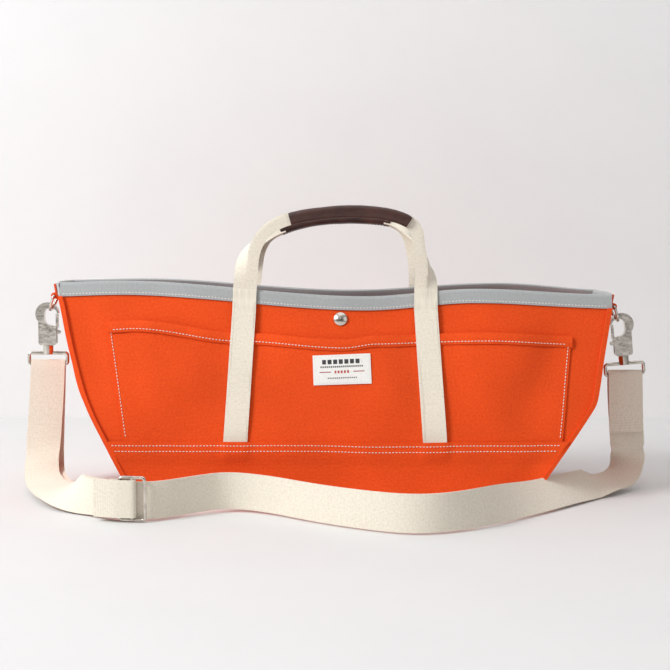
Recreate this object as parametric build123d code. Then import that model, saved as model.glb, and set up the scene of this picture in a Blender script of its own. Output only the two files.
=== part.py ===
from build123d import *
import math
import os

os.makedirs("parts", exist_ok=True)

# An open canvas tool bag. +X runs along its length, the front faces -Y, and the
# origin is the middle of the underside. All sizes are in millimetres.

# Bag body
base_half_x = 202.0
base_half_y = 105.0
hip_z = 100.0
hip_half_x = 288.0
rim_z = 230.0
rim_half_x = 310.0
rim_half_y = 40.0
rim_left_z = 232.0
rim_middle_z = 218.0
rim_right_z = 220.0
canvas_t = 2.5
band_t = 1.5
band_height = 66.0
board_t = 3.0
seam_width = 6.0
seam_t = 3.0
binding_width = 12.7
binding_t = 1.0
reach = 60.0

# Pocket and label
pocket_gap = 8.0
pocket_t = 1.6
pocket_left_x = -236.0
pocket_right_x = 246.0
pocket_taper = 10.0
pocket_left_z = 196.0
pocket_middle_z = 178.0
pocket_right_z = 184.0
label_size = (62.0, 31.0, 0.8)
label_place = (7.0, 142.0)

# Handles
webbing_width = 25.4
webbing_t = 2.5
leg_base_x = 105.0
leg_rim_x = 96.0
leg_top_z = 221.4
handle_hinge_z = 224.0
riser_start = 1.6
grip_length = 132.0
grip_width = 15.0
grip_t = 10.0
core_width = 11.0
core_t = 4.0
back_handle_lean = 21.0

# Snap fastener
snap_place = (6.0, 194.0)
snap_radius = 7.25
snap_dome = 2.2
snap_inner_radius = 6.2

# Rings and hooks
ring_wire = 1.6
ring_half_y = 14.0
ring_drop = 17.0
ring_below_rim = 15.0
ring_lean = 20.0
tab_width = 20.0
tab_t = 1.8
tab_loop_radius = 3.6
hook_radius = 13.0
hook_t = 8.0
hook_height = 48.0
hook_wall = 6.0
eye_width = 15.0
eye_inset = 4.0
eye_height = 20.0
gate_t = 2.6
gate_slot = 4.2
gate_pin = (4.0, -38.5)
pin_radius = 1.5
stud_radius = 2.5
barrel_radius = 5.8
loop_wire = 2.0
loop_half_x = 21.5
loop_top = -57.0
loop_bar = -69.5
right_hook_lean = 5.0

# Shoulder strap
strap_width = 38.1
strap_t = 1.6
strap_lift = 0.3
cord_radius = 1.4
drop_end_z = 46.0
sewn_end_z = 61.0
slide_wire = 1.75
slide_bar_gap = 13.0
slide_stand_off = 4.6


def half_x(z):
    """Half the body's length at a height."""
    if z <= hip_z:
        return base_half_x + (hip_half_x - base_half_x) * z / hip_z
    return hip_half_x + (rim_half_x - hip_half_x) * (z - hip_z) / (rim_z - hip_z)


def half_y(z):
    """Half the body's depth at a height."""
    return base_half_y + (rim_half_y - base_half_y) * z / rim_z


def tub(z_low, z_high, grow_x=0.0, grow_y=0.0):
    """The body's outline between two heights, grown along X and Y."""
    levels = [z_low, z_high]
    if z_low < hip_z < z_high:
        levels.insert(1, hip_z)
    sections = []
    for z in levels:
        outline = Rectangle(2 * (half_x(z) + grow_x), 2 * (half_y(z) + grow_y))
        sections.append(Pos(0, 0, z) * outline)
    return loft(sections, ruled=True)


def side_prism(*corners):
    """A prism through the whole bag along Y, from its outline in X and Z."""
    outline = Plane.XZ * Polygon(*corners, align=None)
    return extrude(outline, amount=300, both=True)


def under_rim(rise):
    """Everything below the curved rim line, raised or lowered by rise."""
    span = 340.0
    with BuildSketch(Plane.XZ) as outline:
        with BuildLine():
            top = ThreePointArc(
                (-span, rim_left_z + rise), (0, rim_middle_z + rise), (span, rim_right_z + rise)
            )
            Polyline(top @ 1, (span, -20), (-span, -20), top @ 0)
        make_face()
    return extrude(outline.sketch, amount=300, both=True)


def save(node, shape):
    """Write one node, and print its volume."""
    shape.label = node
    export_step(shape, "parts/" + node + ".step")
    print(node, len(shape.solids()), round(shape.volume, 1))


def pick(shape, direction, lowest=True):
    """The solid that lies furthest to one side along a direction."""
    ordered = shape.solids().sort_by(direction)
    return ordered[0] if lowest else ordered[-1]


# ---- Canvas panels: front and back run corner to corner, the ends fit between them
top_z = rim_z + 20
low_z = band_t
floor_z = band_t + canvas_t
below = under_rim(0)
walls = tub(low_z, top_z)
between = tub(low_z - 1, top_z + 1, grow_x=reach, grow_y=-canvas_t)
front_and_back = (walls - between) & below
save("front_panel", pick(front_and_back, Axis.Y))
save("back_panel", pick(front_and_back, Axis.Y, lowest=False))

inside = tub(floor_z, top_z + 1, grow_x=-canvas_t, grow_y=reach)
ends_and_floor = (walls & between) & below
ends = (ends_and_floor - inside) & tub(floor_z, top_z, grow_x=reach, grow_y=reach)
save("left_gusset", pick(ends, Axis.X))
save("right_gusset", pick(ends, Axis.X, lowest=False))
save("base_panel", ends_and_floor & tub(low_z, floor_z, grow_x=reach, grow_y=reach))
save("base_board", tub(floor_z, floor_z + board_t, grow_x=-canvas_t - 1, grow_y=-canvas_t - 1))

# ---- Reinforcing band: it wraps under the base and up the front and back
band = tub(0, band_height, grow_y=band_t) - tub(-1, band_height + 1, grow_x=reach)
save("base_band_front", pick(band, Axis.Y))
save("base_band_back", pick(band, Axis.Y, lowest=False))
save("base_band_bottom", tub(0, band_t))

# ---- Rim binding: a folded strip over the raw edge, lapped at the four corners
hem_low = rim_middle_z - binding_width - 20
hem = tub(hem_low, top_z, grow_x=binding_t, grow_y=binding_t)
hem -= tub(hem_low - 1, top_z + 1, grow_x=-canvas_t - binding_t, grow_y=-canvas_t - binding_t)
hem -= front_and_back
hem -= ends
hem &= under_rim(binding_t) - under_rim(-binding_width)
corner_cut = tub(hem_low - 1, top_z + 1, grow_x=reach, grow_y=-canvas_t - binding_t)
long_hems = hem - corner_cut
short_hems = hem & corner_cut
save("rim_binding_front", pick(long_hems, Axis.Y))
save("rim_binding_back", pick(long_hems, Axis.Y, lowest=False))
save("rim_binding_left", pick(short_hems, Axis.X))
save("rim_binding_right", pick(short_hems, Axis.X, lowest=False))

# ---- Corner seams: the bound seam allowance stands out from each corner
seams = tub(low_z, top_z, grow_x=seam_width) - tub(low_z - 1, top_z + 1, grow_y=reach)
seams -= tub(low_z - 1, top_z + 1, grow_x=reach, grow_y=-seam_t)
seams &= under_rim(-binding_width - 0.5)
for side, x_sign in (("left", -1), ("right", 1)):
    for face, y_sign in (("front", -1), ("back", 1)):
        corner = Pos(x_sign * 250, y_sign * 100, 150) * Box(400, 190, 400)
        save(face + "_" + side + "_seam", seams & corner)


# ---- Pockets: one panel across, sewn down under the handle legs into three bays
def leg_x(z):
    """Distance from the middle to a handle leg's centre line at a height."""
    return leg_base_x + (leg_rim_x - leg_base_x) * (z - band_height) / (leg_top_z - band_height)


def pocket_parts():
    """The pocket panel on the front, before it is turned for the back."""
    high = rim_z
    outline = side_prism(
        (pocket_left_x + pocket_taper, band_height),
        (pocket_right_x - pocket_taper, band_height),
        (pocket_right_x, pocket_right_z),
        (0, pocket_middle_z),
        (pocket_left_x, pocket_left_z),
    )
    thin = tub(band_height, high, grow_y=pocket_t) - tub(0, high + 1, grow_x=reach)
    deep = tub(band_height, high, grow_y=pocket_gap + pocket_t) - tub(0, high + 1, grow_x=reach)
    hollow = tub(band_height + 3, high + 1, grow_x=reach, grow_y=pocket_gap)
    hollow -= tub(0, high + 2, grow_x=2 * reach)
    edge = webbing_width / 2 + 1.5
    low_left = pocket_left_x + pocket_taper + 3
    low_right = pocket_right_x - pocket_taper - 3
    low_leg = leg_x(band_height)
    high_leg = leg_x(high)
    bays = (
        (low_left, -low_leg - edge, -high_leg - edge, pocket_left_x + 1),
        (-low_leg + edge, low_leg - edge, high_leg - edge, -high_leg + edge),
        (low_leg + edge, low_right, pocket_right_x + 1, high_leg + edge),
    )
    panel = thin & outline
    for low_a, low_b, high_b, high_a in bays:
        outer = side_prism((low_a, band_height), (low_b, band_height), (high_b, high), (high_a, high))
        wall = pocket_t
        inner = side_prism(
            (low_a + wall, band_height),
            (low_b - wall, band_height),
            (high_b - wall, high),
            (high_a + wall, high),
        )
        panel += deep & outline & outer
        panel -= hollow & inner
    return panel


pocket = pocket_parts()
front_pocket = pick(pocket, Axis.Y)
save("front_pocket", front_pocket)
save("back_pocket", front_pocket.rotate(Axis.Z, 180))


def wall_plane(x, z, offset, face=-1):
    """A plane on the sloping front (face -1) or back (face 1), facing outward."""
    slope = math.atan2(base_half_y - rim_half_y, rim_z)
    normal = (0, face * math.cos(slope), math.sin(slope))
    return Plane(origin=(x, face * (half_y(z) + offset), z), x_dir=(-face, 0, 0), z_dir=normal)


label_plane = wall_plane(*label_place, pocket_gap + pocket_t)
label_board = extrude(Rectangle(label_size[0], label_size[1]), amount=label_size[2])
save("woven_label", label_plane * Rot(0, 0, 2) * Pos(0, 0, 0.05) * label_board)

# ---- Handle legs: webbing sewn flat on the body, over the pocket and the binding
legs = tub(band_height + 0.2, leg_top_z, grow_y=pocket_t + webbing_t)
legs -= tub(0, top_z, grow_x=reach, grow_y=pocket_t + 0.02)
for side, sign in (("left", -1), ("right", 1)):
    edge = webbing_width / 2
    strip = side_prism(
        (sign * leg_base_x - edge, band_height),
        (sign * leg_base_x + edge, band_height),
        (sign * leg_rim_x + edge, leg_top_z),
        (sign * leg_rim_x - edge, leg_top_z),
    )
    pair = legs & strip
    save("front_handle_leg_" + side, pick(pair, Axis.Y))
    save("back_handle_leg_" + side, pick(pair, Axis.Y, lowest=False))


# ---- Handle loops: flat webbing that folds in half inside a leather grip
def route_radii(points):
    """Each corner's radius: 0.45 of its shorter run over the tangent of half the turn."""
    radii = []
    for before, corner, after in zip(points, points[1:], points[2:]):
        run_in = Vector(*corner) - Vector(*before)
        run_out = Vector(*after) - Vector(*corner)
        half_turn = math.radians(run_in.get_angle(run_out)) / 2
        radii.append(0.45 * min(run_in.length, run_out.length) / math.tan(half_turn))
    return radii


def handle_path(shift):
    """The loop's centre line, standing upright, in its own plane."""
    points = (
        (-leg_rim_x, riser_start),
        (-leg_rim_x + 2, 40),
        (-64 + shift, 76),
        (shift, 88),
        (64 + shift, 76),
        (leg_rim_x, 40),
        (leg_rim_x, riser_start),
    )
    return Plane.XZ * FilletPolyline(*points, radius=route_radii(points))


def handle(shift):
    """The webbing and the grip, on a hinge line along X through the origin."""
    path = handle_path(shift)
    start = Plane(origin=path @ 0, x_dir=(1, 0, 0), z_dir=path % 0)
    webbing = sweep(start * Rectangle(webbing_width, webbing_t), path=path)
    core = sweep(start * Rectangle(core_width, core_t), path=path)
    sleeve = sweep(start * Rectangle(grip_width, grip_t), path=path)
    middle = Pos(shift, 0, 90) * Box(grip_length, 60, 80)
    grip = (sleeve & middle) - core
    strap = (webbing - middle) + (core & middle)
    return strap, grip


hinge_y = half_y(handle_hinge_z) + pocket_t + webbing_t / 2
for face, sign, shift, lean in (("front", -1, 9, 0), ("back", 1, 0, back_handle_lean)):
    strap, grip = handle(shift)
    place = Pos(0, sign * hinge_y, handle_hinge_z) * Rot(-sign * lean, 0, 0)
    save(face + "_handle_webbing", place * strap)
    save(face + "_handle_grip", place * grip)


# ---- Snap that closes the mouth: cap and socket in front, stud and cap behind
def snap_cap():
    """A shallow domed cap on a thin rim."""
    dome_radius = (snap_radius**2 + snap_dome**2) / (2 * snap_dome)
    ball = Pos(0, 0, 0.8 + snap_dome - dome_radius) * Sphere(dome_radius)
    dome = ball & (Pos(0, 0, 0.8 + snap_dome / 2) * Cylinder(snap_radius, snap_dome))
    return dome + Pos(0, 0, 0.4) * Cylinder(snap_radius, 0.8)


def snap_inner(hollow):
    """The half inside the bag: a socket ring, or a stud that fits it."""
    disc = Pos(0, 0, 0.75) * Cylinder(snap_inner_radius, 1.5)
    if hollow:
        ring = Pos(0, 0, 2.75) * (Cylinder(4.4, 2.5) - Cylinder(2.6, 2.5))
        return disc + ring
    return disc + Pos(0, 0, 2.5) * Cylinder(2.4, 2.6)


for face, sign, hollow in (("front", -1, True), ("back", 1, False)):
    outside = wall_plane(*snap_place, 0.0, sign)
    inside_face = wall_plane(*snap_place, -canvas_t, sign)
    save(face + "_snap_cap", outside * Pos(0, 0, 0.02) * snap_cap())
    save(face + "_snap_" + ("socket" if hollow else "stud"),
         inside_face * Pos(0, 0, -0.1) * Rot(180, 0, 0) * snap_inner(hollow))


gusset_slope = math.degrees(math.atan2(rim_half_x - hip_half_x, rim_z - hip_z))


# ---- Rings, hooks and strap loops. Each set is drawn at its ring's bar, with +X
# outward, and then placed on its end of the bag.
def ring_tab():
    """A folded canvas tab, sewn to the gusset, with a tube that holds the ring."""
    tube = Rot(90, 0, 0) * Cylinder(tab_loop_radius, tab_width)
    back = Pos(-tab_loop_radius + tab_t / 2, 0, 4) * Box(tab_t, tab_width, 18)
    bore = Rot(90, 0, 0) * Cylinder(ring_wire + 0.15, tab_width + 2)
    return Rot(0, gusset_slope, 0) * ((tube + back) - bore)


def d_ring():
    """A wire ring with a straight bar, hanging below it."""
    points = (
        (0, -ring_half_y, 0),
        (0, ring_half_y, 0),
        (0, ring_half_y - 2, -11),
        (0, 6, -ring_drop),
        (0, -6, -ring_drop),
        (0, -ring_half_y + 2, -11),
    )
    path = FilletPolyline(*points, radius=2.4, close=True)
    section = Plane(origin=path @ 0, z_dir=path % 0) * Circle(ring_wire)
    return sweep(section, path=path)


def flat(sketch, thickness, y=0.0):
    """A plate in the XZ plane, centred on y."""
    return Pos(0, y, 0) * extrude(Plane.XZ * sketch, amount=thickness / 2, both=True)


def hook_body():
    """The hook casting: a round nose over an eye, on a forked shank."""
    shank = Pos(0, -31.5) * RectangleRounded(20, hook_height - 15, 3)
    outline = Pos(0, -hook_radius) * Circle(hook_radius) + shank
    eye = Pos(-eye_inset, -hook_wall - eye_height / 2) * SlotOverall(eye_height, eye_width, rotation=90)
    mouth = Pos(-11, -19.5) * Rectangle(12, 15)
    body = flat(outline - eye - mouth, hook_t)
    fork = flat(Pos(-7, -36) * Rectangle(18, 19), gate_slot)
    pin_bore = Pos(-gate_pin[0], 0, gate_pin[1]) * Rot(90, 0, 0) * Cylinder(pin_radius, 20)
    stud_bore = Pos(0, 0, -hook_height + 1.2) * Cylinder(stud_radius, 4.6)
    return body - fork - pin_bore - stud_bore


def hook_gate():
    """The gate lever, closed against the nose, with its thumb tab."""
    lever = Polygon((-2, -41.5), (-7, -41.5), (-12.4, -27), (-12.4, -12.6), (-9.4, -12.6),
                    (-9.2, -27), (-2, -35.5), align=None)
    tab = Polygon((-9.6, -30), (-15.2, -32.4), (-14, -35.4), (-7.6, -36), align=None)
    plate = flat(lever + tab, gate_t, y=-0.7)
    bore = Pos(-gate_pin[0], 0, gate_pin[1]) * Rot(90, 0, 0) * Cylinder(pin_radius + 0.08, 20)
    return plate - bore


def gate_pin_solid():
    """The rivet that the gate turns on."""
    return Pos(-gate_pin[0], 0, gate_pin[1]) * Rot(90, 0, 0) * Cylinder(pin_radius, hook_t + 0.8)


def gate_spring():
    """The torsion coil on the rivet, beside the gate."""
    coil = Cylinder(2.5, 1.0) - Cylinder(pin_radius + 0.1, 2)
    return Pos(-gate_pin[0], 1.35, gate_pin[1]) * Rot(90, 0, 0) * coil


def swivel_stud():
    """The stud that is fixed in the hook and turns in the strap loop."""
    length = 11.0
    return Pos(0, 0, -hook_height + 3.5 - length / 2) * Cylinder(stud_radius, length)


def strap_loop():
    """The barrel over the stud, and the flat wire loop that the strap passes."""
    barrel_top = -hook_height - 0.4
    height = barrel_top - loop_top + 1.5
    barrel = Pos(0, 0, barrel_top - height / 2) * Cylinder(barrel_radius, height)
    points = (
        (-loop_half_x, 0, loop_top),
        (loop_half_x, 0, loop_top),
        (loop_half_x, 0, loop_bar),
        (-loop_half_x, 0, loop_bar),
    )
    path = FilletPolyline(*points, radius=3, close=True)
    wire = sweep(Plane(origin=path @ 0, z_dir=path % 0) * Circle(loop_wire), path=path)
    bore = Pos(0, 0, barrel_top - 3.9) * Cylinder(stud_radius + 0.08, 8.2)
    return (barrel + wire) - bore


def ring_place(side):
    """Where a ring's bar lies, as X and Z, on the left (-1) or right (1)."""
    z = (rim_left_z if side < 0 else rim_right_z) - ring_below_rim
    return half_x(z) + (binding_t + 0.2 + tab_loop_radius) / math.cos(math.radians(gusset_slope)), z


def hook_place(side):
    """The hook's top, hung on the ring's bow, as X and Z."""
    x, z = ring_place(side)
    lean = math.radians(ring_lean)
    bow_x = x + ring_drop * math.sin(lean)
    bow_z = z - ring_drop * math.cos(lean)
    return bow_x + eye_inset, bow_z + ring_wire + 0.5 + hook_wall


bar_places = {}
for side_name, side in (("left", -1), ("right", 1)):
    x, z = ring_place(side)
    tab_place = Pos(x, 0, z)
    ring_turn = tab_place * Rot(0, -ring_lean, 0)
    hook_x, hook_z = hook_place(side)
    lean = right_hook_lean if side > 0 else 0.0
    hook_turn = Pos(hook_x, 0, hook_z) * Rot(0, -lean, 0)
    shapes = {
        "ring_tab": tab_place * ring_tab(),
        "d_ring": ring_turn * d_ring(),
        "hook": hook_turn * hook_body(),
        "hook_gate": hook_turn * hook_gate(),
        "hook_pin": hook_turn * gate_pin_solid(),
        "hook_spring": hook_turn * gate_spring(),
        "hook_swivel_stud": hook_turn * swivel_stud(),
        "strap_loop": hook_turn * strap_loop(),
    }
    for name, shape in shapes.items():
        save(side_name + "_" + name, shape if side > 0 else mirror(shape, about=Plane.YZ))
    bar = (hook_turn * Pos(0, 0, loop_bar)).position
    bar_places[side_name] = (side * bar.X, bar.Z, side * lean)
    print(side_name, "ring bar", side * x, z, "hook top", side * hook_x, hook_z)
    gate = (hook_turn * Pos(-gate_pin[0], 0, gate_pin[1])).position
    print(side_name, "loop bar", bar_places[side_name], "gate pin", side * gate.X, gate.Z)


# ---- Shoulder strap: webbing from one loop to the other along the floor. Its left
# end turns back round the left loop to the slide, and its right end is sewn.
layer_y = loop_wire + strap_t / 2 + 0.15
half_width = strap_width / 2


def drop(x, y, z_high, z_low):
    """A hanging stretch of strap, flat to the front."""
    return Pos(x, y, (z_high + z_low) / 2) * Box(strap_width, strap_t, z_high - z_low)


def strap_fold(x, z, lean):
    """The half turn of strap over a loop's bar."""
    outer = layer_y + strap_t / 2
    tube = Rot(0, 90, 0) * (Cylinder(outer, strap_width) - Cylinder(outer - strap_t, strap_width))
    upper = Pos(0, 0, outer) * Box(strap_width, 4 * outer, 2 * outer)
    return Pos(x, 0, z) * Rot(0, -lean, 0) * (tube & upper)


def edge_run(name, points, low):
    """A stretch of strap standing on its edge, along a route on the floor."""
    radii = route_radii(points)
    path = FilletPolyline(*points, radius=radii)
    start = Plane(origin=path @ 0, x_dir=(0, 0, 1), z_dir=path % 0)
    band = sweep(start * Rectangle(strap_width, strap_t), path=path)
    print(name, "radii", [round(r) for r in radii], "length", round(path.length, 1))
    save(name, Pos(0, 0, low + half_width) * band)


def twist_run(name, points):
    """A turn between a hanging stretch and the floor, as a slim cord."""
    radii = route_radii(points)
    path = FilletPolyline(*points, radius=radii)
    cord = sweep(Plane(origin=path @ 0, z_dir=path % 0) * Circle(cord_radius), path=path)
    print(name, "radii", [round(r) for r in radii], "length", round(path.length, 1))
    print(name, "volume ratio", round(cord.volume / (math.pi * cord_radius**2 * path.length), 3))
    save(name, cord)


left_x, left_bar_z, left_lean = bar_places["left"]
right_x, right_bar_z, right_lean = bar_places["right"]
mid_z = strap_lift + half_width
floor_route = [
    (-288, -100), (-256, -142), (-222, -172), (-182, -178), (-148, -150), (-112, -128),
    (-70, -140), (-24, -180), (26, -214), (76, -238), (122, -226), (162, -186),
    (204, -140), (244, -96), (282, -54),
]
return_route = [(-291.5, -102.5), (-259, -145), (-223.5, -173.6), (-206.4, -176.2)]

left_back_drop = drop(left_x, layer_y, left_bar_z - 0.05, drop_end_z)
left_front_drop = drop(left_x, -layer_y, left_bar_z, drop_end_z)
save("strap_left_drop", left_back_drop)
save("strap_left_return_drop", left_front_drop + strap_fold(left_x, left_bar_z, left_lean))
twist_run("strap_left_turn", [
    (left_x + 1, layer_y, drop_end_z - 0.1), (left_x + 5, layer_y - 6, 24),
    (left_x + 16, -44, mid_z), floor_route[0] + (mid_z,),
])
twist_run("strap_left_return_turn", [
    (left_x - 3, -layer_y - 1, drop_end_z - 0.1), (left_x - 7, -layer_y - 9, 22),
    (left_x + 4, -54, mid_z), return_route[0] + (mid_z,),
])
edge_run("strap_front_run", [point + (0,) for point in floor_route], strap_lift)
edge_run("strap_return_run", [point + (0,) for point in return_route], strap_lift)
twist_run("strap_right_turn", [
    floor_route[-1] + (mid_z,), (right_x - 12, -16, mid_z - 4),
    (right_x + 5, layer_y - 2, 26), (right_x + 4, layer_y, drop_end_z - 0.1),
])
sewn_end = drop(right_x, -layer_y, right_bar_z, sewn_end_z)
save("strap_right_sewn_end", sewn_end + strap_fold(right_x, right_bar_z, right_lean))
save("strap_right_drop", drop(right_x, layer_y, right_bar_z - 2, drop_end_z))

# ---- Slide: three bars in a wire frame, on the long straight run beside the return
run_a = Vector(*floor_route[2])
run_b = Vector(*floor_route[3])
run_dir = (run_b - run_a).normalized()
slide_out = Vector(run_dir.Y, -run_dir.X, 0)
slide_z = half_width + 2.4 + slide_wire + strap_lift
slide_centre = (run_a + run_b) * 0.5 + slide_out * slide_stand_off + Vector(0, 0, slide_z)
slide_plane = Plane(origin=slide_centre, x_dir=run_dir, z_dir=slide_out)
frame_points = (
    (-slide_bar_gap, -half_width - 2.4, 0),
    (slide_bar_gap, -half_width - 2.4, 0),
    (slide_bar_gap, half_width + 2.4, 0),
    (-slide_bar_gap, half_width + 2.4, 0),
)
frame_path = FilletPolyline(*frame_points, radius=3, close=True)
frame_section = Plane(origin=frame_path @ 0, z_dir=frame_path % 0) * Circle(slide_wire)
frame_wire = sweep(frame_section, path=frame_path)
centre_bar = Rot(90, 0, 0) * Cylinder(slide_wire, strap_width + 4.8)
save("strap_slide", slide_plane * (frame_wire + centre_bar))
wrap_outer = slide_wire + 0.15 + strap_t
wrap_ring = Cylinder(wrap_outer, strap_width) - Cylinder(slide_wire + 0.15, strap_width)
save("strap_slide_wrap", slide_plane * Rot(90, 0, 0) * wrap_ring)
print("slide centre", slide_centre, "direction", run_dir)
print("hinge y", hinge_y)
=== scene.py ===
import math
import bpy
from mathutils import Matrix, Vector, noise


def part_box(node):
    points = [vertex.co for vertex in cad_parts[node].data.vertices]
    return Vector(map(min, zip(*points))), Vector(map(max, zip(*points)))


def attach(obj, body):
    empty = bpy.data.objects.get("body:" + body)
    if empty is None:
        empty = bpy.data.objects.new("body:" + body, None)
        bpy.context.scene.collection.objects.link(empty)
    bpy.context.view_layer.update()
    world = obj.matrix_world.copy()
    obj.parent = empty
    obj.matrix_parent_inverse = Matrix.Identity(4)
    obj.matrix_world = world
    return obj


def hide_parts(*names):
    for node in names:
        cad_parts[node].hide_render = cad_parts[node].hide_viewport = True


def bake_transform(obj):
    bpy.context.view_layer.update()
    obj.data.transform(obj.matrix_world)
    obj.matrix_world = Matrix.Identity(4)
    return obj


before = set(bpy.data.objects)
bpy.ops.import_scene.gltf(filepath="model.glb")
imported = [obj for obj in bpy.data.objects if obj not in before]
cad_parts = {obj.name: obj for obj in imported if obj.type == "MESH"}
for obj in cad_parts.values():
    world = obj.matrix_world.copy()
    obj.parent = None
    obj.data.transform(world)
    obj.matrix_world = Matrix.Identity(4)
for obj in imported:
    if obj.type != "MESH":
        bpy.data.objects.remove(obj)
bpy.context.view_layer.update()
bpy.ops.object.select_all(action="DESELECT")

# ---- Studio
# The bag stands on a pale floor in front of a plaster wall, lit by a strong soft light from
# the left, weaker ones from the right and from above, and a bright room.
wall_distance = 0.54
camera_distance = 1.49
camera_height = 0.300
camera_dip = 4.9

bpy.ops.object.camera_add(
    location=(0, -camera_distance, camera_height),
    rotation=(math.radians(90 - camera_dip), 0, 0),
)
camera = bpy.context.object
camera.name = "camera"
camera.data.lens = 71.5
camera.data.sensor_width = 36
bpy.context.scene.camera = camera


def new_material(name):
    """A material with its nodes, links and shader at hand."""
    material = bpy.data.materials.new(name)
    material.use_nodes = True
    tree = material.node_tree
    return material, tree.nodes, tree.links, tree.nodes["Principled BSDF"]


def speckle(nodes, links, where, scale, detail):
    """Uneven grey noise, read at the given coordinates."""
    grey = nodes.new("ShaderNodeTexNoise")
    grey.inputs["Scale"].default_value = scale
    grey.inputs["Detail"].default_value = detail
    links.new(where, grey.inputs["Vector"])
    return grey.outputs["Fac"]


def graded(nodes, links, share, dark_at, dark, light_at, light):
    """A colour that goes from dark to light as share goes from dark_at to light_at."""
    ramp = nodes.new("ShaderNodeValToRGB")
    for stop, at, colour in zip(ramp.color_ramp.elements, (dark_at, light_at), (dark, light)):
        stop.position = at
        stop.color = (*colour, 1)
    links.new(share, ramp.inputs["Fac"])
    return ramp.outputs["Color"]


def raised(nodes, links, height, strength, distance, under=None):
    """A surface direction bumped by height, on top of the one under it."""
    bump = nodes.new("ShaderNodeBump")
    bump.inputs["Strength"].default_value = strength
    bump.inputs["Distance"].default_value = distance
    links.new(height, bump.inputs["Height"])
    if under:
        links.new(under, bump.inputs["Normal"])
    return bump.outputs["Normal"]


def plaster(name, tone, bump):
    """Matt painted plaster, with faint trowel marks."""
    material, nodes, links, shader = new_material(name)
    shader.inputs["Roughness"].default_value = 0.85
    place = nodes.new("ShaderNodeTexCoord")
    marks = speckle(nodes, links, place.outputs["Object"], 9, 8)
    shade = graded(nodes, links, marks, 0, (tone * 0.95, tone * 0.95, tone * 0.955), 1, (tone, tone, tone))
    links.new(shade, shader.inputs["Base Color"])
    links.new(raised(nodes, links, marks, bump, 0.002), shader.inputs["Normal"])
    return material


bpy.ops.mesh.primitive_plane_add(size=8, location=(0, 0, -0.0005))
floor = bpy.context.object
floor.name = "floor"
floor.data.materials.append(plaster("pale_floor", 0.72, 0.05))
bpy.ops.mesh.primitive_plane_add(
    size=8, location=(0, wall_distance, 3.9), rotation=(math.radians(90), 0, 0)
)
wall = bpy.context.object
wall.name = "wall"
painted = plaster("pale_wall", 0.86, 0.25)
wall.data.materials.append(painted)

# The wall is a flat that is only seen from the front, so that the back of the bag can be seen.
seen_from = painted.node_tree.nodes.new("ShaderNodeNewGeometry")
flat = painted.node_tree.nodes.new("ShaderNodeMixShader")
clear = painted.node_tree.nodes.new("ShaderNodeBsdfTransparent")
join = painted.node_tree.links
join.new(seen_from.outputs["Backfacing"], flat.inputs["Fac"])
join.new(painted.node_tree.nodes["Principled BSDF"].outputs["BSDF"], flat.inputs[1])
join.new(clear.outputs["BSDF"], flat.inputs[2])
join.new(flat.outputs["Shader"], painted.node_tree.nodes["Material Output"].inputs["Surface"])

for name, place, aim, size, power in (
    ("key_light", (-2.3, -1.5, 2.0), (0, 0, 0.1), 1.0, 80),
    ("fill_light", (1.8, -1.6, 1.1), (0, 0, 0.1), 1.6, 6),
    ("top_light", (0.1, -0.2, 2.2), (0, 0, 0.1), 1.8, 8),
):
    bpy.ops.object.light_add(type="AREA", location=place)
    light = bpy.context.object
    light.name = name
    light.data.size = size
    light.data.energy = power
    light.rotation_euler = (Vector(aim) - Vector(place)).to_track_quat("-Z", "Y").to_euler()

room = bpy.data.worlds.new("room")
room.use_nodes = True
room_nodes, room_links = room.node_tree.nodes, room.node_tree.links
around = room_nodes.new("ShaderNodeTexCoord")
toward_window = room_nodes.new("ShaderNodeVectorMath")
toward_window.operation = "DOT_PRODUCT"
toward_window.inputs[1].default_value = (-0.45, 0.25, 0.85)
room_links.new(around.outputs["Generated"], toward_window.inputs[0])
window_share = toward_window.outputs["Value"]
dim, bright = (0.16, 0.155, 0.15), (1.0, 0.99, 0.97)
brightness = graded(room_nodes, room_links, window_share, 0.0, dim, 0.60, bright)
room_links.new(brightness, room_nodes["Background"].inputs["Color"])
room_nodes["Background"].inputs["Strength"].default_value = 0.68
bpy.context.scene.world = room
bpy.context.scene.view_settings.view_transform = "Standard"

# ---- Shoulder strap
# Heavy natural cotton webbing, 38 mm wide. It hangs from the right loop, runs along the
# floor in front of the bag on its edge, rises to the left loop and turns back to the slide.
strap_width = 0.0381
strap_thickness = 0.0018
left_loop_low, left_loop_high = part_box("left_strap_loop")
loop_wire = 0.002
left_bar = Vector(((left_loop_low[0] + left_loop_high[0]) / 2, 0, left_loop_low[2] + loop_wire))
right_bar = Vector((0.3265, 0, 0.1279))
layer = 0.003


def rounded_line(points):
    """The smooth line of a strip, guided by its control points."""
    curve = bpy.data.curves.new("route", "CURVE")
    curve.dimensions = "3D"
    curve.resolution_u = 12
    spline = curve.splines.new("NURBS")
    spline.points.add(len(points) - 1)
    for control, point in zip(spline.points, points):
        control.co = (*point, 1)
    spline.order_u = 3
    spline.use_endpoint_u = True
    route = bpy.data.objects.new("route", curve)
    bpy.context.collection.objects.link(route)
    bpy.context.view_layer.update()
    line = bpy.data.meshes.new_from_object(route.evaluated_get(bpy.context.evaluated_depsgraph_get()))
    places = [vertex.co.copy() for vertex in line.vertices]
    bpy.data.meshes.remove(line)
    bpy.data.objects.remove(route)
    bpy.data.curves.remove(curve)
    return places


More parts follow.
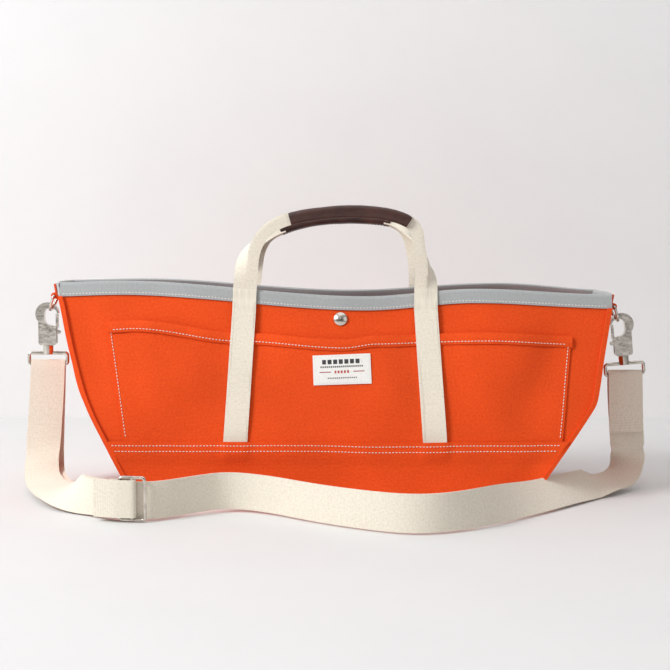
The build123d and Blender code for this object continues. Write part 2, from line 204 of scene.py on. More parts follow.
def lay_cloth(name, cells, size, place, thickness, offset=-1.0):
    """A flat-cut piece of cloth, laid so that its point (u, v) lies at place(u, v)."""
    bpy.ops.object.select_all(action="DESELECT")
    bpy.ops.mesh.primitive_grid_add(x_subdivisions=cells[0], y_subdivisions=cells[1], size=1)
    cloth = bpy.context.object
    cloth.name = name
    flat = [(vertex.co.x + 0.5, vertex.co.y + 0.5) for vertex in cloth.data.vertices]
    for corner, spot in zip(cloth.data.loops, cloth.data.uv_layers.active.data):
        u, v = flat[corner.vertex_index]
        spot.uv = (u * size[0], v * size[1])
    for vertex, (u, v) in zip(cloth.data.vertices, flat):
        vertex.co = place(u, v)
    thicken = cloth.modifiers.new("thickness", "SOLIDIFY")
    thicken.thickness = thickness
    thicken.offset = offset
    bpy.ops.object.modifier_apply(modifier=thicken.name)
    bpy.ops.object.shade_smooth_by_angle(angle=math.radians(50))
    return cloth


def ribbon(name, line, width, thickness, across, fold=None, behind=None, cells=8):
    """Webbing laid along a line. across(i, t) is its width direction at point i, where it runs
    along t, and fold(i) is how far its outer half is folded behind the inner one, in radians."""
    last = len(line) - 1
    side = []
    for i in range(len(line)):
        ahead = (line[min(i + 1, last)] - line[max(i - 1, 0)]).normalized()
        out = across(i, ahead)
        side.append((out - ahead * out.dot(ahead)).normalized())

    def place(u, v):
        i = min(last, int(round(v * last)))
        reach = (u - 0.5) * width
        turn = fold(i) if fold else 0.0
        if turn and reach < 0:
            lift = behind * (-reach * math.sin(turn) + thickness * turn / math.pi * 1.15)
            spot = line[i] + side[i] * (reach * math.cos(turn)) + lift
        else:
            spot = line[i] + side[i] * reach
        return spot - side[i] * (width / 4) * (turn / math.pi)

    length = sum((b - a).length for a, b in zip(line, line[1:]))
    return lay_cloth(name, (cells, last), (width, length), place, thickness, 0.0)


def woven(name, light, dark, pitch, rough=0.9, bump=0.5, coords="UV", fade=0.12, sheen=0.25):
    """Cloth woven from threads `pitch` metres apart, faded and slubbed unevenly."""
    material, nodes, links, shader = new_material(name)
    shader.inputs["Roughness"].default_value = rough
    shader.inputs["Sheen Weight"].default_value = sheen
    shader.inputs["Sheen Roughness"].default_value = 0.5
    shader.inputs["Specular IOR Level"].default_value = 0.25
    place = nodes.new("ShaderNodeTexCoord")
    weave = nodes.new("ShaderNodeMath")
    weave.operation = "MULTIPLY"
    for direction, operand in (("X", 0), ("Y", 1)):
        threads = nodes.new("ShaderNodeTexWave")
        threads.wave_type = "BANDS"
        threads.bands_direction = direction
        threads.inputs["Scale"].default_value = 2 * math.pi / 20 / pitch
        threads.inputs["Distortion"].default_value = 1.2
        threads.inputs["Detail"].default_value = 1.5
        threads.inputs["Detail Scale"].default_value = 1.2
        links.new(place.outputs[coords], threads.inputs["Vector"])
        links.new(threads.outputs["Fac"], weave.inputs[operand])
    patches = speckle(nodes, links, place.outputs["Object"], 11, 7)
    slubs = speckle(nodes, links, place.outputs[coords], 420, 2)
    uneven = nodes.new("ShaderNodeMath")
    uneven.operation = "MULTIPLY_ADD"
    uneven.inputs[1].default_value = 0.45
    links.new(weave.outputs["Value"], uneven.inputs[0])
    links.new(slubs, uneven.inputs[2])
    height = uneven.outputs["Value"]
    worn = nodes.new("ShaderNodeMix")
    worn.data_type = "RGBA"
    worn.blend_type = "MULTIPLY"
    worn.inputs["Factor"].default_value = 1.0
    links.new(graded(nodes, links, height, 0.30, dark, 0.95, light), worn.inputs["A"])
    faded = graded(nodes, links, patches, 0.3, (1 - fade, 1 - fade, 1 - fade), 0.7, (1, 1, 1))
    links.new(faded, worn.inputs["B"])
    links.new(worn.outputs["Result"], shader.inputs["Base Color"])
    hills = raised(nodes, links, patches, 0.35, 0.0015)
    links.new(raised(nodes, links, height, bump, pitch * 0.4, hills), shader.inputs["Normal"])
    return material


webbing = woven("natural_webbing", (0.92, 0.86, 0.75), (0.76, 0.69, 0.57), 0.0013, bump=0.6, fade=0.04)

on_edge = strap_width / 2 + 0.0003
strap_points = [
    (right_bar.x, -0.0005, right_bar.z + 0.0042),
    (right_bar.x, layer, right_bar.z + 0.0036),
    (right_bar.x + 0.0005, layer + 0.0005, right_bar.z - 0.022),
    (right_bar.x + 0.004, layer, 0.062),
    (right_bar.x + 0.006, layer - 0.002, 0.022),
    (right_bar.x - 0.010, -0.016, 0.0095),
    (0.282, -0.054, 0.0095),
    (0.244, -0.094, 0.0120),
    (0.204, -0.136, 0.0140),
    (0.162, -0.182, 0.0165),
    (0.122, -0.224, 0.0185),
    (0.076, -0.238, on_edge),
    (0.026, -0.214, on_edge),
    (-0.024, -0.180, on_edge),
    (-0.070, -0.140, on_edge + 0.001),
    (-0.112, -0.128, on_edge + 0.003),
    (-0.148, -0.150, on_edge + 0.002),
    (-0.182, -0.178, on_edge + 0.001),
    (-0.222, -0.172, on_edge - 0.001),
    (-0.256, -0.142, 0.0160),
    (-0.288, -0.100, 0.0120),
    (left_bar.x + 0.010, -0.044, 0.0105),
    (left_bar.x - 0.003, layer - 0.008, 0.016),
    (left_bar.x - 0.004, layer, 0.050),
    (left_bar.x - 0.001, layer, left_bar.z - 0.024),
    (left_bar.x, layer, left_bar.z + 0.0036),
    (left_bar.x, -0.0005, left_bar.z + 0.0042),
]


def soft_step(t):
    """0 to 1, slow at both ends."""
    t = min(1.0, max(0.0, t))
    return t * t * (3 - 2 * t)


def strap_width_direction(line):
    """The strap's upper edge. It faces up where the strap runs on its edge, tips over toward
    each corner until the strap lies nearly flat, and turns inward where it hangs."""

    def across(i, ahead):
        x, z = line[i].x, line[i].z
        inward = Vector((-1 if x > 0 else 1, 0, 0))
        hang = soft_step((z - 0.024) / 0.030)
        tip = 1.30 * soft_step((abs(x) - 0.245) / 0.060)
        if x > 0:
            tip = max(tip, 0.80 * soft_step((x - 0.10) / 0.13))
        level = Vector((0, 0, 1)).cross(ahead)
        if level.dot(inward + Vector((0, 0.8, 0))) < 0:
            level.negate()
        level.normalize()
        upper = Vector((0, 0, 1)) * math.cos(tip) + level * math.sin(tip)
        return upper * (1 - hang) + inward * hang

    return across


def resting(line):
    """The same line, raised where an edge of the strap would sink into the floor."""
    across = strap_width_direction(line)
    last = len(line) - 1
    lift = []
    for i in range(len(line)):
        ahead = (line[min(i + 1, last)] - line[max(i - 1, 0)]).normalized()
        out = across(i, ahead)
        out = (out - ahead * out.dot(ahead)).normalized()
        lift.append(max(0.0, abs(out.z) * strap_width / 2 + 0.0010 - line[i].z))
    reach = 6
    held = [max(lift[max(0, i - reach): i + reach + 1]) for i in range(len(lift))]
    rises = []
    for i in range(len(held)):
        nearby = held[max(0, i - reach): i + reach + 1]
        rises.append(sum(nearby) / len(nearby))
    return [point + Vector((0, 0, rise)) for point, rise in zip(line, rises)]


strap_line = resting(rounded_line(strap_points))
shoulder_strap = ribbon(
    "shoulder_strap", strap_line, strap_width, strap_thickness, strap_width_direction(strap_line)
)
shoulder_strap.data.materials.append(webbing)
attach(shoulder_strap, "bag")
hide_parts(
    "strap_front_run", "strap_left_drop", "strap_left_turn",
    "strap_right_turn", "strap_right_drop",
)

# The return leg goes over the left loop's bar, down in front of the strap and along its
# outer side to the slide.
slide_low, slide_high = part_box("strap_slide")
slide_centre = (Vector(slide_low) + Vector(slide_high)) / 2
slide_along = Vector((0.988936, -0.14834, 0))
slide_out = Vector((-0.14834, -0.988936, 0))
return_points = [
    (left_bar.x, 0.0010, left_bar.z + 0.0042),
    (left_bar.x, -layer, left_bar.z + 0.0036),
    (left_bar.x - 0.001, -layer - 0.0005, left_bar.z - 0.024),
    (left_bar.x - 0.006, -layer - 0.002, 0.050),
    (left_bar.x - 0.007, -layer - 0.014, 0.017),
    (left_bar.x + 0.006, -0.050, 0.0115),
    (-0.2918, -0.1030, 0.0130),
    (-0.2592, -0.1452, 0.0170),
    (-0.2240, -0.1752, on_edge + 0.001),
    tuple(slide_centre - slide_along * 0.014 - slide_out * 0.0022),
]
return_line = resting(rounded_line(return_points))
return_leg = ribbon(
    "strap_return", return_line, strap_width, strap_thickness, strap_width_direction(return_line)
)
return_leg.data.materials.append(webbing)
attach(return_leg, "bag")
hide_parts("strap_return_run", "strap_left_return_drop", "strap_left_return_turn")

# The return leg's end wraps the slide's middle bar and is sewn back on itself.
wrap_points = [
    tuple(slide_centre - slide_along * 0.024 - slide_out * 0.0024),
    tuple(slide_centre - slide_along * 0.010 - slide_out * 0.0022),
    tuple(slide_centre + slide_along * 0.0030 - slide_out * 0.0030),
    tuple(slide_centre + slide_along * 0.0034 + slide_out * 0.0030),
    tuple(slide_centre - slide_along * 0.006 + slide_out * 0.0036),
    tuple(slide_centre - slide_along * 0.022 + slide_out * 0.0038),
    tuple(slide_centre - slide_along * 0.040 + slide_out * 0.0002),
]
wrap_line = rounded_line(wrap_points)
slide_wrap = ribbon(
    "slide_wrap", wrap_line, strap_width, strap_thickness, lambda i, ahead: Vector((0, 0, 1))
)
slide_wrap.data.materials.append(webbing)
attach(slide_wrap, "slide")
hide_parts("strap_slide_wrap")

# The right end is folded over its loop's bar and sewn down in front of the strap.
sewn_points = [
    (right_bar.x, 0.0010, right_bar.z + 0.0042),
    (right_bar.x, -layer, right_bar.z + 0.0036),
    (right_bar.x + 0.0005, -layer, right_bar.z - 0.012),
    (right_bar.x + 0.0015, -0.0012, right_bar.z - 0.034),
    (right_bar.x + 0.0030, -0.0004, right_bar.z - 0.066),
]
sewn_line = rounded_line(sewn_points)
sewn_end = ribbon(
    "strap_sewn_end", sewn_line, strap_width, strap_thickness, lambda i, ahead: Vector((-1, 0, 0))
)
sewn_end.data.materials.append(webbing)
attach(sewn_end, "bag")
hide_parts("strap_right_sewn_end")

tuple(strap_points[0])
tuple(return_points[0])

# ---- Canvas body
# Front and back panels, two end gussets and a floor, cut from heavy orange cotton duck. The
# panels hang a little slack between the corners, and the rim waves where nothing holds it.
canvas_thickness = 0.0022
base_half_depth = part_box("base_band_bottom")[1][1]
rim_half_depth = 0.040
rim_half_length = 0.310
rim_level = 0.230
hip_height = 0.103
corner_outline = {-1: (0.203, 0.268, 0.300), 1: (0.200, 0.276, 0.301)}
corner_bend = {-1: 0.008, 1: 0.0016}
end_outline = (0.2005, 0.2865, 0.3085)
end_bend = {-1: 0.006, 1: 0.002}
front_rim_heights = [(-0.310, 0.2305), (-0.235, 0.2325), (0.035, 0.2155), (0.150, 0.2235), (0.310, 0.2175)]
back_rim_heights = [(-0.310, 0.2300), (-0.220, 0.2315), (0.020, 0.2185), (0.185, 0.2265), (0.310, 0.2185)]


def through(points, x):
    """A smooth height through a few chosen points."""
    for (x_a, z_a), (x_b, z_b) in zip(points, points[1:]):
        if x <= x_b:
            return z_a + (z_b - z_a) * soft_step((x - x_a) / (x_b - x_a))
    return points[-1][1]


def rim_height(x, face):
    """Height of the rim on the front (-1) or the back (1)."""
    return through(front_rim_heights if face < 0 else back_rim_heights, x)


def end_rim_height(side, across):
    """Height of the rim on an end, from its front corner (-1) to its back corner (1)."""
    share = (across + 1) / 2
    front = rim_height(side * rim_half_length, -1)
    back = rim_height(side * rim_half_length, 1)
    return front * (1 - share) + back * share


def sloped(base, hip, rim, z, softness):
    """A side outline that leans out to the hip, bends softly there, and rises to the rim."""
    low = base + (hip - base) * z / hip_height
    high = hip + (rim - hip) * (z - hip_height) / (rim_level - hip_height)
    return -softness * math.log(math.exp(-low / softness) + math.exp(-high / softness))


def corner_x(side, z):
    """Distance of a corner seam from the middle, at a height."""
    return sloped(*corner_outline[side], z, corner_bend[side])


def depth_y(z):
    """Half the body's depth at a height."""
    return base_half_depth + (rim_half_depth - base_half_depth) * z / rim_level


# Where the empty cloth bulges or sinks: x, z, half width, half height, depth, slant.
hollows = [
    (0.226, 0.135, 0.026, 0.050, -0.0070, 0.30), (-0.262, 0.155, 0.016, 0.050, -0.0050, -0.15),
    (-0.165, 0.128, 0.045, 0.034, 0.0045, 0.40), (-0.050, 0.100, 0.030, 0.030, -0.0030, -0.50),
    (0.055, 0.108, 0.035, 0.040, 0.0040, 0.20), (0.160, 0.120, 0.026, 0.050, 0.0040, -0.30),
    (-0.215, 0.210, 0.030, 0.018, -0.0030, 0.80), (0.045, 0.196, 0.060, 0.014, -0.0022, 0.00),
    (0.215, 0.040, 0.018, 0.030, -0.0030, 0.60), (-0.100, 0.030, 0.060, 0.022, -0.0030, 0.10),
]


def slack(x, z, face):
    """How far the cloth stands out of its plane: slow billows and a few soft pulls."""
    rise = max(0.0, min(1.0, z / rim_level))
    edge = max(0.0, 1 - (x / 0.285) ** 4)
    billow = 0.0035 * math.sin(math.pi * rise) * edge
    slow = noise.noise(Vector((x * 6.5, z * 5 + face * 7, 2.1))) * 0.0085
    pulls = noise.noise(Vector((x * 20 + z * 16, z * 5.5, face * 3.7))) * 0.0040
    calm = 1 - 0.55 * rise ** 6
    for centre_x, centre_z, half_width, half_height, depth, slant in hollows:
        across = (-face * x - centre_x - slant * (z - centre_z)) / half_width
        up = (z - centre_z) / half_height
        if abs(across) < 3 and abs(up) < 3:
            slow += depth * math.exp(-across * across - up * up)
    return (slow + pulls) * (0.25 + 0.75 * edge) * calm + billow * 0.5


def wall_point(x, z, face, out=0.0):
    """A point on the front or back panel, moved outward by out."""
    return Vector((x, face * (depth_y(z) + slack(x, z, face) + out), z))


def end_point(side, across, z, out=0.0):
    """A point on an end gusset, from its front corner (-1) to its back corner (1)."""
    corner = corner_x(side, z)
    middle = sloped(*end_outline, z, end_bend[side])
    x = corner + (middle - corner) * (1 - across * across)
    x += noise.noise(Vector((side * 3.1, across * 1.8, z * 9))) * 0.0016 * (1 - across * across)
    return Vector((side * (x + out), across * depth_y(z), z))


duck_light = (0.92, 0.098, 0.010)
duck_dark = (0.76, 0.060, 0.005)
duck_pitch = 0.0014
canvas = woven("orange_duck", duck_light, duck_dark, duck_pitch, sheen=0.05)

for face_name, face in (("front", -1), ("back", 1)):

    def panel_place(u, v, face=face):
        across = (u - 0.5) * 2 * (1 if face < 0 else -1)
        side = -1 if across < 0 else 1
        x = across * corner_x(side, 0.228 * v)
        z = 0.002 + v * (rim_height(x, face) - 0.002)
        x = across * corner_x(side, z)
        return wall_point(x, z, face)

    panel = lay_cloth("canvas_" + face_name, (150, 64), (0.60, 0.24), panel_place, canvas_thickness)
    panel.data.materials.append(canvas)
    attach(panel, "bag")
    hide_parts(face_name + "_panel")

for side_name, side in (("left", -1), ("right", 1)):

    def gusset_place(u, v, side=side):
        across = (u - 0.5) * 2 * side
        top = end_rim_height(side, across)
        z = 0.002 + v * (top - 0.002)
        return end_point(side, across, z)

    gusset = lay_cloth("canvas_gusset_" + side_name, (40, 64), (0.20, 0.27), gusset_place, canvas_thickness)
    gusset.data.materials.append(canvas)
    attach(gusset, "bag")
    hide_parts(side_name + "_gusset")

# The floor of the bag: the same duck, with the stiff black board lying on it.
floor_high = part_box("base_panel")[1]


def floor_place(u, v):
    half_length = floor_high[0] - 0.004
    half_depth = floor_high[1] - 0.003
    soft = noise.noise(Vector((u * 6, v * 4, 5.5))) * 0.0004
    return Vector(((u - 0.5) * 2 * half_length, (v - 0.5) * 2 * half_depth, floor_high[2] - 0.0002 + soft))


bag_floor = lay_cloth("canvas_floor", (60, 24), (0.404, 0.204), floor_place, 0.0018)
bag_floor.data.materials.append(canvas)
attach(bag_floor, "bag")
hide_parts("base_panel")

# ---- Sewing thread
# Thick white bonded thread, about seven stitches to the inch. One stitch is a small rounded
# grain, repeated along each seam line.
stitch_pitch = 0.0036
stitch_length = 0.0025
stitch_radius = 0.00050
thread = woven("white_thread", (0.88, 0.86, 0.80), (0.70, 0.66, 0.60), 0.0006, coords="Object", fade=0.05)


def stitch_row(name, points, body="bag", radius=stitch_radius, material=thread):
    """A row of stitches along a line of points, sunk a little into the cloth."""
    length = sum((Vector(b) - Vector(a)).length for a, b in zip(points, points[1:]))
    bpy.ops.object.select_all(action="DESELECT")
    curve = bpy.data.curves.new(name + "_line", "CURVE")
    curve.dimensions = "3D"
    curve.twist_mode = "Z_UP"
    spline = curve.splines.new("POLY")
    spline.points.add(len(points) - 1)
    for control, point in zip(spline.points, points):
        control.co = (*point, 1)
    seam_line = bpy.data.objects.new(name + "_line", curve)
    bpy.context.collection.objects.link(seam_line)
    bpy.ops.mesh.primitive_uv_sphere_add(segments=8, ring_count=6, radius=1)
    row = bpy.context.object
    row.name = name
    row.data.transform(Matrix.Rotation(math.pi / 2, 4, "Y"))
    row.data.transform(Matrix.Diagonal((stitch_length / 2, radius, radius, 1)))
    row.data.transform(Matrix.Translation((stitch_pitch / 2, 0, 0)))
    bpy.ops.object.shade_smooth()
    repeat = row.modifiers.new("repeat", "ARRAY")
    repeat.count = max(1, int(length / stitch_pitch))
    repeat.use_relative_offset = False
    repeat.use_constant_offset = True
    repeat.constant_offset_displace = (stitch_pitch, 0, 0)
    follow = row.modifiers.new("follow", "CURVE")
    follow.object = seam_line
    follow.deform_axis = "POS_X"
    bpy.ops.object.modifier_apply(modifier=repeat.name)
    bpy.ops.object.modifier_apply(modifier=follow.name)
    bpy.data.objects.remove(seam_line)
    row.data.materials.append(material)
    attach(row, body)


# ---- Reinforcing band
# A second layer of duck that wraps under the base and up both sides, turned under at its
# upper edges and held there by two rows of stitches.
band_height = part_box("base_band_front")[1][2]
band_out = 0.0014
toe = 0.005
leg_low_x = 0.1060
leg_high_x = 0.0975


def leg_x(z):
    """Distance of a handle leg's middle from the bag's middle, at a height."""
    return leg_low_x + (leg_high_x - leg_low_x) * (z - band_height) / (0.222 - band_height)


def band_over(x, z):
    """How far the band's inner face stands off the panel: it climbs over the pocket and the legs."""
    climb = soft_step((z - 0.040) / 0.016)
    leg = math.exp(-((abs(x) - leg_low_x) / 0.0150) ** 6)
    return band_out + climb * (0.0019 + 0.0020 * leg)


def band_place(u, v):
    """From the upper front edge (v = 0), under the base, to the upper back edge (v = 1)."""
    rise = band_height - toe
    path = (v - 0.5) * 2 * (rise + base_half_depth)
    face = -1 if path < 0 else 1
    run = abs(path)
    across = (u - 0.5) * 2
    side = -1 if across < 0 else 1
    if run < base_half_depth - toe:
        return Vector((across * (corner_x(side, 0.0) + 0.001), face * run, 0.0014))
    turn = min(1.0, (run - base_half_depth + toe) / toe)
    if turn < 1.0:
        angle = turn * math.pi / 2
        y = depth_y(toe) + band_out - toe + toe * math.sin(angle)
        z = 0.0014 + (toe - 0.0014) * (1 - math.cos(angle))
        return Vector((across * (corner_x(side, z) + 0.0005), face * y, z))
    z = toe + (run - base_half_depth)
    x = across * (corner_x(side, z) + 0.0005)
    wave = noise.noise(Vector((x * 9, face, 4.0))) * 0.0009 * z / band_height
    return wall_point(x, min(z, band_height) + wave, face, band_over(x, z))


band = lay_cloth("base_band", (220, 130), (0.50, 0.33), band_place, 0.0011)
band.data.materials.append(canvas)
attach(band, "bag")
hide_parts("base_band_front", "base_band_back", "base_band_bottom")

for face_name, face in (("front", -1), ("back", 1)):
    for row_name, drop in (("upper", 0.0040), ("lower", 0.0098)):
        z = band_height - drop
        points = []
        for step in range(81):
            across = (step / 80 - 0.5) * 2
            x = across * (corner_x(-1 if across < 0 else 1, z) - 0.003)
            wave = noise.noise(Vector((x * 9, face, 4.0))) * 0.0009
            points.append(wall_point(x, z + wave, face, band_over(x, z) + 0.0013))
        stitch_row("band_stitches_" + face_name + "_" + row_name, points)

# ---- Corner seams
# The panels and gussets are sewn together with their seam allowance left outside, where it
# stands as a narrow fin down each corner.
seam_width = 0.0052
for face_name, face in (("front", -1), ("back", 1)):
    for side_name, side in (("left", -1), ("right", 1)):

        def seam_place(u, v, face=face, side=side):
            top = rim_height(side * rim_half_length, face) - 0.0125
            z = 0.0025 + v * (top - 0.0025)
            reach = u * seam_width if side * face > 0 else (1 - u) * seam_width
            wobble = noise.noise(Vector((side, face, z * 22))) * 0.0007
            x = corner_x(side, z) - 0.0008 + reach + wobble
            return Vector((side * x, face * (depth_y(z) + 0.0012 - 0.10 * reach), z))

        seam_name = "corner_seam_" + face_name + "_" + side_name
        seam = lay_cloth(seam_name, (3, 60), (seam_width, 0.25), seam_place, 0.0026)
        seam.data.materials.append(canvas)
        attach(seam, "bag")
        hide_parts(face_name + "_" + side_name + "_seam")

# ---- Rim binding
# Grey woven tape, 25 mm wide, folded over the raw edge of the canvas and sewn through with one
# row of stitches near its lower edge.
binding_width = 0.0125
binding_stand = 0.0009
tape_thickness = 0.0007
tape_face = binding_stand + tape_thickness
tape = woven("grey_tape", (0.43, 0.445, 0.45), (0.35, 0.36, 0.365), 0.0008, rough=0.5, bump=0.25, fade=0.05)


def lap(u, low_out):
    """Where the folded tape lies, across its width: its height below the rim, and its offset."""
    if u < 0.44:
        return binding_width * (1 - u / 0.44), low_out
    if u > 0.56:
        return binding_width * (u - 0.56) / 0.44, -canvas_thickness - low_out
    angle = (u - 0.44) / 0.12 * math.pi
    middle = -canvas_thickness / 2
    half = canvas_thickness / 2 + low_out
    return -half * math.sin(angle), middle + half * math.cos(angle)


for face_name, face in (("front", -1), ("back", 1)):

    def long_binding_place(u, v, face=face):
        across = (v - 0.5) * 2 * (1 if face > 0 else -1)
        side = -1 if across < 0 else 1
        x = across * (corner_x(side, 0.225) + 0.001)
        top = rim_height(x, face)
        below, out = lap(u, binding_stand)
        wave = noise.noise(Vector((x * 14, face, u * 2))) * 0.0004
        return wall_point(x, top - below + wave, face, out)

    binding = lay_cloth(
        "binding_" + face_name, (26, 150), (0.027, 0.60), long_binding_place, tape_thickness, 1.0
    )
    binding.data.materials.append(tape)
    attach(binding, "bag")
    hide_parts("rim_binding_" + face_name)
    for layer_name, out in (("outer", tape_face), ("inner", -canvas_thickness - tape_face)):
        points = []
        for step in range(101):
            x = (step / 100 - 0.5) * 2 * 0.297
            points.append(wall_point(x, rim_height(x, face) - binding_width + 0.0026, face, out))
        stitch_row("binding_stitches_" + face_name + "_" + layer_name, points)

for side_name, side in (("left", -1), ("right", 1)):

    def short_binding_place(u, v, side=side):
        across = (v - 0.5) * 2 * -side
        top = end_rim_height(side, across)
        below, out = lap(u, binding_stand)
        return end_point(side, across, top - below, out)

    binding = lay_cloth(
        "binding_" + side_name, (26, 30), (0.027, 0.08), short_binding_place, tape_thickness, 1.0
    )
    binding.data.materials.append(tape)
    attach(binding, "bag")
    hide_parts("rim_binding_" + side_name)
    points = []
    for step in range(21):
        across = (step / 20 - 0.5) * 1.9
        top = end_rim_height(side, across)
        points.append(end_point(side, across, top - binding_width + 0.0026, tape_face))
    stitch_row("binding_stitches_" + side_name, points)

# ---- Pockets
# One wide panel of duck on the front and one on the back, hemmed along the top and sewn down its
# sides, under the band and under the handle legs, so that it makes three bays.
pocket_left = (-0.2250, -0.2450)
pocket_right = (0.2420, 0.2570)
hem_heights = [
    (-0.246, 0.1915), (-0.215, 0.1930), (-0.100, 0.1790), (0.010, 0.1725),
    (0.045, 0.1765), (0.170, 0.1800), (0.262, 0.1755),
]
hem_width = 0.0120
pocket_rise = 0.115


def pocket_edge(side, z):
    """Where the pocket's side edge lies at a height."""
    low, high = pocket_left if side < 0 else pocket_right
    return low + (high - low) * min(1.0, (z - band_height) / pocket_rise)


def pocket_out(x, z):
    """How far the empty pocket stands off the panel: it gapes a little between its seams."""
    stand = 0.0021
    sewn = (leg_x(z), -leg_x(z), pocket_edge(-1, z), pocket_edge(1, z))
    nearest = min(abs(x - seam_x) for seam_x in sewn)
    free = soft_step((nearest - 0.014) / 0.035)
    gape = free * max(0.0, (z - band_height) / pocket_rise) ** 1.5
    return stand + 0.0030 * gape


def hem_top(x):
    """Height of the pocket's upper edge."""
    return through(hem_heights, x)


for face_name, face in (("front", -1), ("back", 1)):

    def pocket_spot(share, v, face=face, low=band_height - 0.004, out=0.0):
        x = pocket_left[1] + (pocket_right[1] - pocket_left[1]) * share
        z = low + v * (hem_top(x) - low)
        x = pocket_edge(-1, z) + (pocket_edge(1, z) - pocket_edge(-1, z)) * share
        return wall_point(x * -face, z, face, pocket_out(x, z) + out)

    pocket = lay_cloth("pocket_" + face_name, (140, 36), (0.49, 0.12), pocket_spot, 0.0012)
    pocket.data.materials.append(canvas)
    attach(pocket, "bag")
    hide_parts(face_name + "_pocket")

    def hem_place(u, v, spot=pocket_spot):
        top = spot(u, 1.0)
        shift = Vector((0, 0, -hem_width * (1 - v)))
        lower = spot(u, 1.0 - hem_width * (1 - v) / pocket_rise)
        crown = 0.0010 * math.sin(math.pi * v) + 0.0005 * noise.noise(Vector((u * 26, v, top.y)))
        outward = Vector((0, math.copysign(0.0012 + crown, top.y), 0))
        return Vector((top.x, lower.y, top.z)) + shift + outward + Vector((0, 0, 0.0004))

    hem = lay_cloth("pocket_hem_" + face_name, (140, 6), (0.49, 0.012), hem_place, 0.0016)
    hem.data.materials.append(canvas)
    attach(hem, "bag")

    hem_line = [hem_place(step / 100, 0.26) + Vector((0, face * 0.0002, 0)) for step in range(1, 100)]
    stitch_row("hem_stitches_" + face_name, hem_line)
    for side_name, share in (("left", 0.006), ("right", 0.994)):
        line = [pocket_spot(share, v / 30, out=0.0003) for v in range(2, 31)]
        stitch_row("pocket_side_stitches_" + face_name + "_" + side_name, line)
        inner = share + (0.012 if share < 0.5 else -0.012)
        tack = [pocket_spot(share + (inner - share) * k / 4, 0.985, out=0.0013) for k in range(5)]
        stitch_row("pocket_tack_" + face_name + "_" + side_name, tack)

# ---- Woven label
# A small damask label with folded ends, sewn to the pocket on all sides. Its pattern is plain
# bars and dashes.
label_centre_x = 0.0075
label_centre_z = 0.1415
label_width = 0.0620
label_height = 0.0312
label_tilt = math.radians(2.2)


def label_place(u, v):
    a = (u - 0.5) * label_width
    b = (v - 0.5) * label_height
    x = label_centre_x + a * math.cos(label_tilt) - b * math.sin(label_tilt)
    z = label_centre_z + a * math.sin(label_tilt) + b * math.cos(label_tilt)
    puff = 0.0004 * (1 - (2 * u - 1) ** 6) * (1 - (2 * v - 1) ** 6)
    return wall_point(x, z, -1, pocket_out(x, z) + 0.0009 + puff)


def label_cloth():
    """White damask with a few dark woven bars, drawn in the label's own UV in metres."""
    material = woven(
        "label_damask", (0.93, 0.92, 0.89), (0.80, 0.79, 0.76), 0.0005, rough=0.6, bump=0.25, fade=0.03
    )
    nodes, links = material.node_tree.nodes, material.node_tree.links
    shader = nodes["Principled BSDF"]
    ground = shader.inputs["Base Color"].links[0].from_socket
    place = nodes.new("ShaderNodeTexCoord")
    split = nodes.new("ShaderNodeSeparateXYZ")
    links.new(place.outputs["UV"], split.inputs["Vector"])

    def within(socket, low, high):
        centre = nodes.new("ShaderNodeMath")
        centre.operation = "COMPARE"
        centre.inputs[1].default_value = (low + high) / 2
        centre.inputs[2].default_value = (high - low) / 2
        links.new(socket, centre.inputs[0])
        return centre.outputs["Value"]

    def dashes(period, share):
        beat = nodes.new("ShaderNodeMath")
        beat.operation = "PINGPONG"
        beat.inputs[1].default_value = period / 2
        links.new(split.outputs["X"], beat.inputs[0])
        keep = nodes.new("ShaderNodeMath")
        keep.operation = "LESS_THAN"
        keep.inputs[1].default_value = period / 2 * share
        links.new(beat.outputs["Value"], keep.inputs[0])
        return keep.outputs["Value"]

    def both(a, b):
        product = nodes.new("ShaderNodeMath")
        product.operation = "MULTIPLY"
        links.new(a, product.inputs[0])
        links.new(b, product.inputs[1])
        return product.outputs["Value"]

    colour = ground
    for low, high, left, right, period, share, ink in (
        (0.0215, 0.0262, 0.010, 0.052, 0.0060, 0.72, (0.05, 0.05, 0.055, 1)),
        (0.0178, 0.0196, 0.008, 0.054, 0.0022, 0.70, (0.10, 0.10, 0.10, 1)),
        (0.0128, 0.0138, 0.007, 0.019, 0.0500, 2.00, (0.35, 0.06, 0.05, 1)),
        (0.0128, 0.0138, 0.043, 0.055, 0.0500, 2.00, (0.35, 0.06, 0.05, 1)),
        (0.0118, 0.0146, 0.023, 0.039, 0.0034, 0.60, (0.45, 0.05, 0.04, 1)),
        (0.0062, 0.0076, 0.015, 0.047, 0.0020, 0.65, (0.12, 0.12, 0.12, 1)),
    ):
        mask = both(both(within(split.outputs["Y"], low, high), within(split.outputs["X"], left, right)),
                    dashes(period, share))
        blend = nodes.new("ShaderNodeMix")
        blend.data_type = "RGBA"
        blend.inputs["B"].default_value = ink
        links.new(mask, blend.inputs["Factor"])
        links.new(colour, blend.inputs["A"])
        colour = blend.outputs["Result"]
    links.new(colour, shader.inputs["Base Color"])
    return material


label = lay_cloth("woven_label_patch", (24, 12), (label_width, label_height), label_place, 0.0005, 0.0)
label.data.materials.append(label_cloth())
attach(label, "bag")
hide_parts("woven_label")
label_edge = [label_place(0.03 + 0.94 * k / 10, 0.05) for k in range(11)]
label_edge += [label_place(0.97, 0.05 + 0.90 * k / 6) for k in range(1, 7)]
label_edge += [label_place(0.97 - 0.94 * k / 10, 0.95) for k in range(1, 11)]
label_edge += [label_place(0.03, 0.95 - 0.90 * k / 6) for k in range(1, 7)]
stitch_row("label_stitches", [spot + Vector((0, -0.0003, 0)) for spot in label_edge], radius=0.00022)

